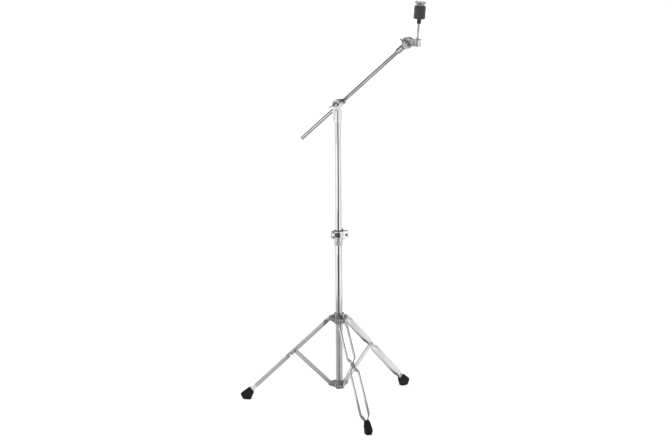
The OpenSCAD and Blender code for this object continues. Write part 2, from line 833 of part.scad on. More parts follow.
module rod_screw() {
    color("#3a3a3c") rod_place() rod_y(rod_screw_r, rod_d / 2 + screw_gap, boss_d / 2 - screw_sink);
}

module cymbal_sleeve() {
    color("#1c1c1e") rod_place() difference() {
        union() {
            translate([0, 0, seat_z - sleeve_shoulder_h])
                cylinder(r = sleeve_shoulder_r, h = sleeve_shoulder_h);
            translate([0, 0, seat_z]) cylinder(r = sleeve_r, h = 2 * felt_h - sleeve_short);
        }
        translate([0, 0, seat_z - sleeve_shoulder_h - 1])
            cylinder(d = rod_d + 2 * fixed_fit, h = sleeve_shoulder_h + 2 * felt_h + 2);
    }
}

module felt(z0, bore_r) {
    color("#444448") rod_place() translate([0, 0, z0]) difference() {
        cylinder(d = felt_d, h = felt_h);
        translate([0, 0, -1]) cylinder(r = bore_r, h = felt_h + 2);
    }
}

module lower_felt() { felt(seat_z, sleeve_r + fixed_fit); }
module upper_felt() { felt(seat_z + felt_h + face_gap, sleeve_r + strip_gap); }

// The cymbal's nut: a flanged boss with two upright wings.
module cymbal_wing_nut() {
    wing_x = 5.6;
    wing_w = 12;
    color("#9c9c9a") rod_place()
        translate([0, 0, seat_z + 2 * felt_h + 2 * face_gap]) difference() {
            union() {
                cylinder(r = nut_flange_r, h = nut_flange_h);
                translate([0, 0, nut_flange_h])
                    cylinder(r1 = nut_hub_r, r2 = nut_hub_r * 0.78, h = nut_hub_h);
                for (turn = [0, 180])
                    rotate([90, 0, turn]) translate([0, 0, -nut_wing_t / 2]) linear_extrude(nut_wing_t) {
                        polygon([
                            [wing_x - 1, 1], [wing_x + wing_w - 4, 2.2],
                            [wing_x + wing_w, 7], [wing_x + wing_w, 11],
                            [wing_x + wing_w - 2.5, 13.6], [wing_x + 2.5, 13.6],
                            [wing_x, 11]
                        ]);
                    }
            }
            translate([0, 0, -1]) cylinder(d = rod_d + 2 * slide_fit, h = 20);
        }
}

// ---------- the nodes ----------

base_tube();
base_tube_plug();
brace_collar();
brace_collar_rivets();
leg_collar();
leg_lock_screw();
leg_strip(0, 1);  // front_leg_strip_a
leg_strip(0, -1);  // front_leg_strip_b
leg_rivets(0);  // front_leg_rivets
foot(0);  // front_foot
brace(0);  // front_brace
leg_strip(1, 1);  // right_leg_strip_a
leg_strip(1, -1);  // right_leg_strip_b
leg_rivets(1);  // right_leg_rivets
foot(1);  // right_foot
brace(1);  // right_brace
leg_strip(2, 1);  // left_leg_strip_a
leg_strip(2, -1);  // left_leg_strip_b
leg_rivets(2);  // left_leg_rivets
foot(2);  // left_foot
brace(2);  // left_brace
clamp_socket();
clamp_jaw();
clamp_inlay();
clamp_hinge_pin();
clamp_bolt();
clamp_washer();
clamp_wing_nut();
tube_bushing();
upper_tube();
boom_yoke();
boom_holder();
holder_liner();
boom_bolt();
boom_washer();
boom_wing_nut();
boom_tube();
boom_tail_plug();
tilter_socket();
socket_screw();
tilter_head();
tilter_bolt();
tilter_washer();
tilter_wing_nut();
cymbal_rod();
rod_screw();
cymbal_sleeve();
lower_felt();
upper_felt();
cymbal_wing_nut();
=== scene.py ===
import json
import math

import bpy
from mathutils import Matrix, Vector

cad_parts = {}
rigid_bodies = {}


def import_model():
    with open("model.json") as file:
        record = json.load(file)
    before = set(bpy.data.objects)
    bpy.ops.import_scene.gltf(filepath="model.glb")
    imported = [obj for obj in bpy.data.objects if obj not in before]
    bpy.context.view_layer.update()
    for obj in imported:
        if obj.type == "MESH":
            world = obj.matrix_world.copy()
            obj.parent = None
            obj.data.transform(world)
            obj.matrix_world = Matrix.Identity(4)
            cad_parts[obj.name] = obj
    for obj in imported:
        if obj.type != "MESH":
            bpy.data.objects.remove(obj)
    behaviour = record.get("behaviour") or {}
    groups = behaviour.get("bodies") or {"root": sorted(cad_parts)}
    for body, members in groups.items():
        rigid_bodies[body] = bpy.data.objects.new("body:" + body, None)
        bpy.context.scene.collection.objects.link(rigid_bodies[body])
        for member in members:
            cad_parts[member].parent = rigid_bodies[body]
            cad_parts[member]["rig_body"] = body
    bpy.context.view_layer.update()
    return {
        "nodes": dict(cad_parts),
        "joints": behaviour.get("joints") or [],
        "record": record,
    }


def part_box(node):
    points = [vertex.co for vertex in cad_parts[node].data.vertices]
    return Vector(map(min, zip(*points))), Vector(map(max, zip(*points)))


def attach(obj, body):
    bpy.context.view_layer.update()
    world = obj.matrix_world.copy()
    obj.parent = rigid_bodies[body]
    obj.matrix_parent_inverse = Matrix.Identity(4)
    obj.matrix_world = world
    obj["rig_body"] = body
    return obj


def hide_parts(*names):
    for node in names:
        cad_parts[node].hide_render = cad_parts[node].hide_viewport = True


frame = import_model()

record = frame["record"]
joints = {joint["name"]: joint for joint in frame["joints"]}


# ---------- Camera and studio ----------
# A long lens five metres back looks a little down at the stand, on a white floor that runs
# past the view. A broad overhead light keeps out of the reflections: the chrome sees a dim
# ceiling, a bright horizon and cards, with a dark gap for the tubes' dark centre line.
lens_place = Vector((-0.0079, -5.106, 1.588))
lens_pitch = math.radians(79.21)
lens_roll = math.radians(-0.37)
lens_mm = 87.14
film_mm = 36
bpy.ops.object.camera_add(location=lens_place, rotation=(lens_pitch, 0, 0))
camera = bpy.context.object
camera.rotation_euler.rotate_axis("Z", lens_roll)
camera.data.sensor_width = film_mm
camera.data.lens = lens_mm
camera.data.clip_end = 300
bpy.context.scene.camera = camera
bpy.context.scene.view_settings.view_transform = "Standard"


def linear(hex_colour):
    """A colour written as #rrggbb, as linear red, green, blue and alpha."""
    parts = [int(hex_colour[i:i + 2], 16) / 255 for i in (1, 3, 5)]
    return [p / 12.92 if p <= 0.04045 else ((p + 0.055) / 1.055) ** 2.4 for p in parts] + [1]


def new_material(name):
    """A node material and its shader."""
    material = bpy.data.materials.new(name)
    material.use_nodes = True
    return material, material.node_tree.nodes["Principled BSDF"]


def add_node(material, kind, settings=None, values=None, links=None):
    """Adds one node: its own settings, its sockets' values and the outputs that feed it."""
    node = material.node_tree.nodes.new(kind)
    for key, value in (settings or {}).items():
        setattr(node, key, value)
    for key, value in (values or {}).items():
        node.inputs[key].default_value = value
    for key, output in (links or {}).items():
        material.node_tree.links.new(output, node.inputs[key])
    return node


horizon_glow = 1.3
ceiling_glow = 0.2
fade_end = 0.3
world = bpy.data.worlds.new("studio_room")
world.use_nodes = True
sky = world.node_tree.nodes["Background"]
heading = world.node_tree.nodes.new("ShaderNodeTexCoord")
split = world.node_tree.nodes.new("ShaderNodeSeparateXYZ")
fade = world.node_tree.nodes.new("ShaderNodeMapRange")
fade.inputs["From Min"].default_value = 0.0
fade.inputs["From Max"].default_value = fade_end
fade.inputs["To Min"].default_value = horizon_glow
fade.inputs["To Max"].default_value = ceiling_glow
world.node_tree.links.new(heading.outputs["Generated"], split.inputs["Vector"])
world.node_tree.links.new(split.outputs["Z"], fade.inputs["Value"])
world.node_tree.links.new(fade.outputs["Result"], sky.inputs["Strength"])
sky.inputs["Color"].default_value = (1, 1, 1, 1)
bpy.context.scene.world = world

floor_side = 240
floor_glow = 0.45
bpy.ops.object.select_all(action="DESELECT")
bpy.ops.mesh.primitive_plane_add(size=floor_side)
floor = bpy.context.object
floor.name = "floor"
floor_paint, shader = new_material("matt white studio floor")
shader.inputs["Base Color"].default_value = linear("#c8c8c8")
shader.inputs["Emission Color"].default_value = (1, 1, 1, 1)
shader.inputs["Emission Strength"].default_value = floor_glow
shader.inputs["Roughness"].default_value = 1.0
shader.inputs["Specular IOR Level"].default_value = 0.0
floor.data.materials.append(floor_paint)

sun_tilt = (math.radians(14), math.radians(-10), 0)
sun_power = 3.6
sun_spread = math.radians(110)
bpy.ops.object.light_add(type="SUN", location=(-1, -2, 4), rotation=sun_tilt)
overhead = bpy.context.object
overhead.data.energy = sun_power
overhead.data.angle = sun_spread
overhead.visible_glossy = False

# Cards seen only in reflections: (name, x from, x to, z from, z to, glow). They stand in
# front of the tripod or lie on the floor between it and them. Each is a millimetre nearer
# than the one before, so a later card covers an earlier one.
card_y = -1.1
card_step = 0.001
lying = 0.002
cards = (
    ("dark_gap", -0.42, 0.42, 0, 0.93, 0.08), ("white_card_left", -2.6, -0.42, 0, 1.02, 1.75),
    ("white_card_right", 0.42, 1.45, 0, 1.0, 1.75), ("grey_card_right", 1.45, 4.5, 0, 1.0, 0.95),
    ("grey_wall_middle", -0.42, 0.42, 0.93, 2.6, 0.5), ("grey_wall_left", -4.0, -0.42, 1.02, 2.6, 0.6),
    ("grey_wall_right", 0.42, 4.5, 1.0, 2.6, 0.55),
    ("boom_patch", -0.95, -0.42, 0, 0.38, 0.6), ("disc_patch", -1.9, -1.1, 0.757, 1.08, 0.45),
    ("floor_card_left", -1.6, -0.1, lying, lying, 0.6), ("floor_card_middle", -0.1, 0.1, lying, lying, 0.3),
    ("floor_card_right", 0.1, 1.6, lying, lying, 0.75))
for step, (name, x0, x1, z0, z1, glow) in enumerate(cards):
    flat = z0 == z1
    bpy.ops.mesh.primitive_plane_add(size=1)
    card = bpy.context.object
    card.name = name
    card.scale = (x1 - x0, -card_y if flat else z1 - z0, 1)
    card.rotation_euler.x = 0 if flat else math.radians(90)
    depth = card_y / 2 if flat else card_y + card_step * step
    card.location = ((x0 + x1) / 2, depth, (z0 + z1) / 2)
    cloth, shader = new_material(name + " cloth")
    shader.inputs["Base Color"].default_value = (0, 0, 0, 1)
    shader.inputs["Specular IOR Level"].default_value = 0.0
    shader.inputs["Emission Color"].default_value = (1, 1, 1, 1)
    shader.inputs["Emission Strength"].default_value = glow
    card.data.materials.append(cloth)
    card.visible_camera = False
    card.visible_diffuse = False
    card.visible_transmission = False
    card.visible_shadow = False


# ---------- Base tube and its end plug ----------
# A chromed steel tube with a moulded cap pressed into its lower end.
# The tube is drawn, cut and lightly broken at both edges, then bright chrome plated.
tube_wall = 0.0012
edge_break = 0.00025
cap_round = 0.0008
press_gap = 0.00005
on_axis = 1e-6
weld = 0.000002


def select_only(obj):
    """Makes one object the only selected and the active one."""
    bpy.ops.object.select_all(action="DESELECT")
    obj.select_set(True)
    bpy.context.view_layer.objects.active = obj


def settle(obj, matrix=None):
    """Puts a finished object's place into its mesh, first moved by matrix if one is given."""
    bpy.context.view_layer.update()
    obj.data.transform((matrix or Matrix.Identity(4)) @ obj.matrix_world)
    obj.matrix_world = Matrix.Identity(4)
    return obj


def apply_modifier(obj, kind, **settings):
    """Adds a modifier with these settings and applies it."""
    select_only(obj)
    modifier = obj.modifiers.new(kind.lower(), kind)
    for key, value in settings.items():
        setattr(modifier, key, value)
    bpy.ops.object.modifier_apply(modifier=modifier.name)


def smooth(obj, degrees=35):
    """Smooth shading, with an edge wherever two faces meet at more than this angle."""
    select_only(obj)
    bpy.ops.object.shade_smooth_by_angle(angle=math.radians(degrees))


def along(start, end):
    """A matrix that takes +Z from the origin to the line from start towards end."""
    turn = (end - start).to_track_quat("Z", "Y").to_matrix().to_4x4()
    return Matrix.Translation(start) @ turn


def turned(name, outline, place=None, steps=96, closed=True):
    """A lathed piece: an outline of (radius, height) points, spun about +Z, then placed."""
    points = [Vector((r, 0, z)) for r, z in outline]
    mesh = bpy.data.meshes.new(name)
    count = len(points)
    edges = [(i, (i + 1) % count) for i in range(count if closed else count - 1)]
    mesh.from_pydata(points, edges, [])
    obj = bpy.data.objects.new(name, mesh)
    bpy.context.scene.collection.objects.link(obj)
    select_only(obj)
    bpy.ops.object.mode_set(mode="EDIT")
    bpy.ops.mesh.select_all(action="SELECT")
    bpy.ops.mesh.spin(steps=steps, angle=math.tau, center=(0, 0, 0), axis=(0, 0, 1), dupli=False)
    bpy.ops.mesh.select_all(action="SELECT")
    bpy.ops.mesh.remove_doubles(threshold=weld)
    bpy.ops.mesh.normals_make_consistent(inside=False)
    bpy.ops.object.mode_set(mode="OBJECT")
    return settle(obj, place)


def rounded(outline, radius, sides=4):
    """The outline with every sharp corner off the axis replaced by a small arc, which takes
    less than half of either side."""
    most = 0.45
    out = []
    count = len(outline)
    for i, corner in enumerate(outline):
        here = Vector(corner)
        back = Vector(outline[i - 1]) - here
        ahead = Vector(outline[(i + 1) % count]) - here
        if here.x < on_axis:
            out.append(corner)
            continue
        cut = min(radius, back.length * most, ahead.length * most)
        a = here + back.normalized() * cut
        b = here + ahead.normalized() * cut
        for k in range(sides + 1):
            t = k / sides
            point = a * (1 - t) ** 2 + here * 2 * t * (1 - t) + b * t ** 2
            out.append((max(point.x, 0), point.y))
    return out


def span(node, start, axis):
    """How far a CAD node reaches along a line, as (lowest, highest) distance from its start."""
    reach = [(vertex.co - start).dot(axis) for vertex in frame["nodes"][node].data.vertices]
    return min(reach), max(reach)


def girth(node, start, axis):
    """A CAD node's largest distance from a line."""
    arms = [vertex.co - start for vertex in frame["nodes"][node].data.vertices]
    return max((arm - axis * arm.dot(axis)).length for arm in arms)


def hand_in(obj, node, material):
    """Gives a finished piece its material and its CAD node's body, and hides the CAD node."""
    obj.data.materials.clear()
    obj.data.materials.append(material)
    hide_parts(node)
    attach(obj, frame["nodes"][node]["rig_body"])
    return obj


def plated(name, tone, shade, rough, grain, blotch=0.02, peel=0.0012, depth=0.00001, edge_tint=None):
    """Plated metal. tone and shade are its lighter and darker tints, rough its roughness range,
    grain stretches the polishing marks, blotch and peel are the sizes in metres of the tint's
    patches and of the surface's ripple, and the last one is a lighter tint on sharp convex edges."""
    material, shader = new_material(name)
    shader.inputs["Metallic"].default_value = 1
    place = add_node(material, "ShaderNodeTexCoord").outputs["Object"]
    long_way = add_node(material, "ShaderNodeMapping", {}, {"Scale": grain}, {"Vector": place})
    patches = add_node(material, "ShaderNodeTexNoise", {}, {"Scale": 1 / blotch, "Detail": 4},
                       {"Vector": place})
    marks = add_node(material, "ShaderNodeTexNoise", {}, {"Scale": 1 / peel, "Detail": 3},
                     {"Vector": long_way.outputs["Vector"]})
    tint = add_node(material, "ShaderNodeMapRange", {"data_type": "FLOAT"},
                    {"From Min": 0.35, "From Max": 0.65}, {"Value": patches.outputs["Fac"]})
    colour = add_node(material, "ShaderNodeMix", {"data_type": "RGBA"},
                      {6: linear(shade), 7: linear(tone)}, {0: tint.outputs["Result"]}).outputs[2]
    # A lighter tint laid on sharp convex edges, where the surface's pointiness is high.
    if edge_tint:
        edges = add_node(material, "ShaderNodeNewGeometry").outputs["Pointiness"]
        edge_share = add_node(material, "ShaderNodeMapRange", {}, {"From Min": 0.52, "From Max": 0.6},
                          {"Value": edges})
        colour = add_node(material, "ShaderNodeMix", {"data_type": "RGBA"}, {7: linear(edge_tint)},
                          {0: edge_share.outputs["Result"], 6: colour}).outputs[2]
    material.node_tree.links.new(colour, shader.inputs["Base Color"])
    spread = add_node(material, "ShaderNodeMapRange", {},
                      {"From Min": 0.3, "From Max": 0.7, "To Min": rough[0], "To Max": rough[1]},
                      {"Value": marks.outputs["Fac"]})
    material.node_tree.links.new(spread.outputs["Result"], shader.inputs["Roughness"])
    relief = add_node(material, "ShaderNodeBump", {}, {"Strength": 0.6, "Distance": depth},
                      {"Height": marks.outputs["Fac"]})
    material.node_tree.links.new(relief.outputs["Normal"], shader.inputs["Normal"])
    return material


def moulded(name, tone, shade, rough, grain_size, depth, dust=None, sheen=0.5):
    """Moulded rubber or plastic: two close tints, a fine grain and, where it is handled or
    stands on a floor, a little dust in the grain. sheen is how strongly it reflects."""
    material, shader = new_material(name)
    shader.inputs["Specular IOR Level"].default_value = sheen
    place = add_node(material, "ShaderNodeTexCoord").outputs["Object"]
    patches = add_node(material, "ShaderNodeTexNoise", {}, {"Scale": 90, "Detail": 5}, {"Vector": place})
    grain = add_node(material, "ShaderNodeTexNoise", {}, {"Scale": 1 / grain_size, "Detail": 3},
                     {"Vector": place})
    colour = add_node(material, "ShaderNodeMix", {"data_type": "RGBA"},
                      {6: linear(shade), 7: linear(tone)}, {0: patches.outputs["Fac"]}).outputs[2]
    if dust:
        low = add_node(material, "ShaderNodeMapRange", {},
                       {"From Min": 0.52, "From Max": 0.75, "To Max": 0.5}, {"Value": grain.outputs["Fac"]})
        colour = add_node(material, "ShaderNodeMix", {"data_type": "RGBA"}, {7: linear(dust)},
                          {0: low.outputs["Result"], 6: colour}).outputs[2]
    material.node_tree.links.new(colour, shader.inputs["Base Color"])
    spread = add_node(material, "ShaderNodeMapRange", {}, {"To Min": rough[0], "To Max": rough[1]},
                      {"Value": patches.outputs["Fac"]})
    material.node_tree.links.new(spread.outputs["Result"], shader.inputs["Roughness"])
    relief = add_node(material, "ShaderNodeBump", {}, {"Strength": 0.5, "Distance": depth},
                      {"Height": grain.outputs["Fac"]})
    material.node_tree.links.new(relief.outputs["Normal"], shader.inputs["Normal"])
    return material


up = Vector((0, 0, 1))
centre = Vector((0, 0, 0))
tube_chrome = plated("bright chrome plate on drawn tube", "#cbccce", "#c4c5c8", (0.04, 0.09), (1, 1, 0.02),
                     blotch=0.05, peel=0.0006, depth=0.000001)
black_nylon = moulded("black moulded nylon", "#1d1d1f", "#151517", (0.34, 0.46), 0.0004, 0.00003)

low, high = span("base_tube", centre, up)
radius = girth("base_tube", centre, up)
base_tube = turned("base_tube_chromed", rounded([
    (radius, low), (radius, high), (radius - tube_wall, high), (radius - tube_wall, low)], edge_break))
smooth(base_tube)
hand_in(base_tube, "base_tube", tube_chrome)

plug_low, plug_high = span("base_tube_plug", centre, up)
cap_radius = girth("base_tube_plug", centre, up)
stem_radius = radius - tube_wall - press_gap
plug = turned("base_tube_end_cap", rounded([
    (0, plug_low), (cap_radius, plug_low), (cap_radius, low), (stem_radius, low),
    (stem_radius, plug_high), (0, plug_high)], cap_round), closed=False)
smooth(plug)
hand_in(plug, "base_tube_plug", black_nylon)


# ---------- Brace collar and its rivets ----------
# A die-cast ring fixed low on the base tube, with three clevises for the braces.
# Its edges and inner corners are rounded by the die, and domed rivets pass through it.
cast_voxel = 0.00055
cast_passes = 6
cad_weld = 0.000004
flat_angle = math.radians(0.5)
rivet_r = 0.003
rivet_head_r = 0.0055
rivet_head_h = 0.0021
collar_half = 0.02
cast_chrome = plated("chrome plate on die-cast zinc", "#cacaca", "#b9b9b8", (0.08, 0.17), (1, 1, 1),
                     blotch=0.012, peel=0.0016, depth=0.000012, edge_tint="#d8d8d8")
rivet_steel = plated("chrome plated rivet", "#b6b6b6", "#9c9c9c", (0.14, 0.24), (1, 1, 1),
                     blotch=0.004, peel=0.0008, depth=0.00001)


def copied(node, name):
    """A copy of a CAD node's mesh, its loose triangles merged into whole faces."""
    obj = bpy.data.objects.new(name, frame["nodes"][node].data.copy())
    bpy.context.scene.collection.objects.link(obj)
    select_only(obj)
    bpy.ops.object.mode_set(mode="EDIT")
    bpy.ops.mesh.select_all(action="SELECT")
    bpy.ops.mesh.remove_doubles(threshold=cad_weld)
    bpy.ops.mesh.dissolve_limited(angle_limit=flat_angle)
    bpy.ops.object.mode_set(mode="OBJECT")
    return obj


def die_rounded(obj, voxel, passes=cast_passes):
    """Rounds every edge and corner, as a die leaves them."""
    apply_modifier(obj, "REMESH", mode="VOXEL", voxel_size=voxel)
    apply_modifier(obj, "SMOOTH", factor=0.5, iterations=passes)
    select_only(obj)
    bpy.ops.object.shade_smooth()
    return obj


def cast_copy(node, name, voxel, passes=cast_passes):
    """A die-rounded copy of a CAD node."""
    return die_rounded(copied(node, name), voxel, passes)


def dome(radius, height, base, way, steps=8):
    """Outline points of a domed head, from its rim at base to the axis, way +1 or -1."""
    rim_share = 0.25
    rim = height * rim_share
    points = [(radius, base)]
    for k in range(steps + 1):
        angle = math.radians(90) * k / steps
        rise = rim + (height - rim) * math.sin(angle)
        points.append((radius * math.cos(angle), base + way * rise))
    return points


def rivet(name, start, axis, low, high, head_r, shank_r, heads=(True, True)):
    """A rivet from low to high along a line, with a domed head at either end."""
    outline = []
    if heads[0]:
        outline += list(reversed(dome(head_r, rivet_head_h, low + rivet_head_h, -1)))
        outline += [(shank_r, low + rivet_head_h)]
    else:
        outline += [(0, low), (shank_r, low)]
    if heads[1]:
        outline += [(shank_r, high - rivet_head_h)] + dome(head_r, rivet_head_h, high - rivet_head_h, 1)
    else:
        outline += [(shank_r, high), (0, high)]
    outline = [(0 if r < on_axis else r, z) for r, z in outline]
    obj = turned(name, outline, along(start, start + axis), steps=40, closed=False)
    smooth(obj, 40)
    return obj


def joined(name, objects):
    """Several finished meshes as one piece."""
    bpy.ops.object.select_all(action="DESELECT")
    for obj in objects:
        obj.select_set(True)
    bpy.context.view_layer.objects.active = objects[0]
    bpy.ops.object.join()
    objects[0].name = name
    return objects[0]


collar_chrome = plated("dulled chrome plate on die-cast collars", "#a6a6a3", "#85857f", (0.14, 0.26),
                       (1, 1, 1), blotch=0.012, peel=0.0016, depth=0.00002, edge_tint="#c4c4c2")
brace_collar = cast_copy("brace_collar", "brace_collar_cast", cast_voxel)
hand_in(brace_collar, "brace_collar", collar_chrome)

collar_rivets = []
for leg in ("front", "right", "left"):
    hinge = joints[leg + "_brace_hinge"]
    start = Vector(hinge["pos_m"])
    axis = Vector(hinge["axis"]).normalized()
    near = [v.co for v in frame["nodes"]["brace_collar_rivets"].data.vertices
            if (v.co - start).length < collar_half]
    half = max(abs((co - start).dot(axis)) for co in near)
    collar_rivets.append(rivet("rivet", start, axis, -half, half, rivet_head_r, rivet_r))
hand_in(joined("brace_collar_domed_rivets", collar_rivets), "brace_collar_rivets", rivet_steel)


# ---------- Leg collar and its lock screw ----------
# The die-cast collar that slides on the base tube, with three ears for the legs.
# A wing screw at the back locks it.
wing_voxel = 0.0004
nut_chrome = plated("chrome plated die-cast wing nut", "#d2d2d4", "#bebec2", (0.1, 0.2), (1, 1, 1),
                    blotch=0.009, peel=0.0012, depth=0.00001, edge_tint="#d2d2d0")
bolt_steel = plated("zinc plated steel", "#b0b0ae", "#8e8e8c", (0.22, 0.36), (1, 1, 1),
                    blotch=0.005, peel=0.0006, depth=0.00001)


def wing_copy(node, name, start, axis, keep=0.62):
    """A cast wing nut or wing screw: the CAD copy with its wings thinned towards their tips,
    then rounded all over."""
    tip_share = 0.93
    boss_share = 0.36
    obj = copied(node, name)
    arms = [v.co - start - axis * (v.co - start).dot(axis) for v in obj.data.vertices]
    reach = max(arm.length for arm in arms)
    first = max(arms, key=lambda arm: arm.length)
    tips = [arm for arm in arms if arm.length > tip_share * reach and arm.dot(first) > 0]
    way = sum(tips, Vector()).normalized()
    across = axis.cross(way)
    boss = reach * boss_share
    for vertex, arm in zip(obj.data.vertices, arms):
        out = abs(arm.dot(way))
        if out > boss:
            share = 1 - (1 - keep) * (out - boss) / (reach - boss)
            vertex.co -= across * arm.dot(across) * (1 - share)
    return die_rounded(obj, wing_voxel)


leg_collar = cast_copy("leg_collar", "leg_collar_cast", cast_voxel)
hand_in(leg_collar, "leg_collar", collar_chrome)

turn = joints["leg_lock_turn"]
lock_screw = wing_copy("leg_lock_screw", "leg_lock_wing_screw", Vector(turn["pos_m"]),
                       Vector(turn["axis"]).normalized())
hand_in(lock_screw, "leg_lock_screw", nut_chrome)


# ---------- Legs and braces ----------
# Each leg is two bent steel strips, riveted at the collar's ear and at the waist and
# pushed into a rubber foot. One more strip braces it. The strips' edges are rolled round
# and their plating is duller than the tubes'.
strip_edge = 0.0006
brushed = (0.04, 1, 1)
top_reach = 0.03
waist_reach = 0.06
foot_voxel = 0.0007
foot_passes = 8
floor_snap = 0.0003


def strip_plate():
    """Satin chrome on rolled strip, its fine lines running along the strip's own UV map."""
    material, shader = new_material("satin chrome plate on rolled strip")
    shader.inputs["Metallic"].default_value = 1
    lay = add_node(material, "ShaderNodeUVMap", {"uv_map": "lay"}).outputs["UV"]
    stretched = add_node(material, "ShaderNodeMapping", {}, {"Scale": brushed}, {"Vector": lay})
    lines = add_node(material, "ShaderNodeTexNoise", {}, {"Scale": 2600, "Detail": 3},
                     {"Vector": stretched.outputs["Vector"]})
    patches = add_node(material, "ShaderNodeTexNoise", {}, {"Scale": 45, "Detail": 4}, {"Vector": lay})
    colour = add_node(material, "ShaderNodeMix", {"data_type": "RGBA"},
                      {6: linear("#c8c8ca"), 7: linear("#d8d8da")}, {0: patches.outputs["Fac"]})
    material.node_tree.links.new(colour.outputs[2], shader.inputs["Base Color"])
    spread = add_node(material, "ShaderNodeMapRange", {}, {"To Min": 0.24, "To Max": 0.38},
                      {"Value": lines.outputs["Fac"]})
    material.node_tree.links.new(spread.outputs["Result"], shader.inputs["Roughness"])
    relief = add_node(material, "ShaderNodeBump", {}, {"Strength": 0.5, "Distance": 0.00001},
                      {"Height": lines.outputs["Fac"]})
    material.node_tree.links.new(relief.outputs["Normal"], shader.inputs["Normal"])
    return material


def lay_uv(obj, start, length_way, width_way):
    """A UV map in metres: u along the strip and v across it."""
    layer = obj.data.uv_layers.new(name="lay")
    for loop in obj.data.loops:
        arm = obj.data.vertices[loop.vertex_index].co - start
        layer.data[loop.index].uv = (arm.dot(length_way), arm.dot(width_way))


def strip_copy(node, name, start, length_way, width_way):
    """A CAD strip with its edges rolled round and a UV map laid along it."""
    obj = copied(node, name)
    for old in list(obj.data.uv_layers):
        obj.data.uv_layers.remove(old)
    apply_modifier(obj, "BEVEL", width=strip_edge, segments=3, limit_method="ANGLE",
                   angle_limit=math.radians(50))
    smooth(obj)
    lay_uv(obj, start, length_way, width_way)
    return obj


strip_chrome = strip_plate()
foot_rubber = moulded("black moulded rubber", "#141416", "#0d0d0f", (0.5, 0.7), 0.0009, 0.00008,
                      dust="#232324", sheen=0.15)
for leg in ("front", "right", "left"):
    hinge = joints[leg + "_leg_hinge"]
    pivot = Vector(hinge["pos_m"])
    axis = Vector(hinge["axis"]).normalized()
    rivets = frame["nodes"][leg + "_leg_rivets"].data.vertices
    waist_points = [v.co for v in rivets if (v.co - pivot).length > waist_reach]
    waist = sum(waist_points, Vector()) / len(waist_points)
    waist -= axis * (waist - pivot).dot(axis)
    down = (waist - pivot).normalized()
    across = axis.cross(down)
    for side in ("a", "b"):
        node = leg + "_leg_strip_" + side
        strip = strip_copy(node, node + "_rolled", pivot, down, across)
        hand_in(strip, node, strip_chrome)

    node = leg + "_leg_rivets"
    top_half = max(abs((v.co - pivot).dot(axis)) for v in rivets if (v.co - pivot).length < top_reach)
    waist_half = max(abs((co - pivot).dot(axis)) for co in waist_points)
    waist_root = min(abs((co - pivot).dot(axis)) for co in waist_points)
    heads = [rivet("rivet", pivot, axis, -top_half, top_half, rivet_head_r, rivet_r)]
    for way in (1, -1):
        heads.append(rivet("rivet", waist, axis * way, waist_root, waist_half, rivet_head_r, rivet_r,
                           (False, True)))
    hand_in(joined(node + "_domed", heads), node, rivet_steel)

    brace_pivot = Vector(joints[leg + "_brace_hinge"]["pos_m"])
    rise = (waist - brace_pivot).normalized()
    brace = strip_copy(leg + "_brace", leg + "_brace_rolled", brace_pivot, rise, axis.cross(rise))
    hand_in(brace, leg + "_brace", strip_chrome)

    foot = cast_copy(leg + "_foot", leg + "_foot_moulded", foot_voxel, foot_passes)
    for vertex in foot.data.vertices:
        vertex.co.z = 0 if vertex.co.z < floor_snap else vertex.co.z
    hand_in(foot, leg + "_foot", foot_rubber)


# ---------- Height clamp ----------
# A die-cast cup on the base tube's mouth carries a split ring. Its rear half is part of
# the cup, its front jaw swings on a hinge pin, and a bolt with a wing nut draws them shut.
jaw_voxel = 0.0005
inlay_edge = 0.00025
pin_round = 0.0006
washer_round = 0.0003
shank_r = 0.0035
head_h = 0.0038
clamp_pitch = 0.0011
thread_gap = 0.00002


def threaded(name, radius, pitch, length, place):
    """A length of V thread along +Z from the origin, both ends cut square."""
    root = radius - pitch * 0.55
    crest = (-pitch * 0.55, -pitch * 0.45)
    mesh = bpy.data.meshes.new(name)
    profile = [(root, 0, -pitch), (radius, 0, crest[0]), (radius, 0, crest[1]), (root, 0, 0)]
    mesh.from_pydata(profile, [(0, 1), (1, 2), (2, 3)], [])
    obj = bpy.data.objects.new(name, mesh)
    bpy.context.scene.collection.objects.link(obj)
    apply_modifier(obj, "SCREW", angle=math.tau, screw_offset=pitch, steps=32, render_steps=32,
                   iterations=int(length / pitch) + 3, use_merge_vertices=True, merge_threshold=weld)
    select_only(obj)
    bpy.ops.object.mode_set(mode="EDIT")
    for height, way in ((0, -1), (length, 1)):
        bpy.ops.mesh.select_all(action="SELECT")
        bpy.ops.mesh.bisect(plane_co=(0, 0, height), plane_no=(0, 0, way), use_fill=True, clear_outer=True)
    bpy.ops.mesh.select_all(action="SELECT")
    bpy.ops.mesh.normals_make_consistent(inside=False)
    bpy.ops.object.mode_set(mode="OBJECT")
    settle(obj, place)
    smooth(obj, 30)
    return obj


def shaft(name, outline, start, axis, steps=48):
    """A turned solid along a line, its outline running from axis to axis."""
    obj = turned(name, outline, along(start, start + axis), steps=steps, closed=False)
    smooth(obj)
    return obj


def washer(name, node, start, axis, bore):
    """A turned washer that fills a CAD node's place on a line."""
    low, high = span(node, start, axis)
    radius = girth(node, start, axis)
    obj = turned(name, rounded([(radius, low), (radius, high), (bore, high), (bore, low)], washer_round),
                 along(start, start + axis), steps=64)
    smooth(obj)
    return obj


pale_chrome = plated("satin chrome plate on die-cast zinc", "#d9d9dc", "#cbcbce", (0.24, 0.34), (1, 1, 1),
                     blotch=0.012, peel=0.0016, depth=0.000012, edge_tint="#ececec")
inlay_black = moulded("glossy dark grey moulded plate", "#3a3d3f", "#303335", (0.22, 0.32), 0.0005, 0.00001)
clamp_socket = cast_copy("clamp_socket", "clamp_socket_cast", cast_voxel)
hand_in(clamp_socket, "clamp_socket", pale_chrome)
clamp_jaw = cast_copy("clamp_jaw", "clamp_jaw_cast", jaw_voxel)
hand_in(clamp_jaw, "clamp_jaw", pale_chrome)

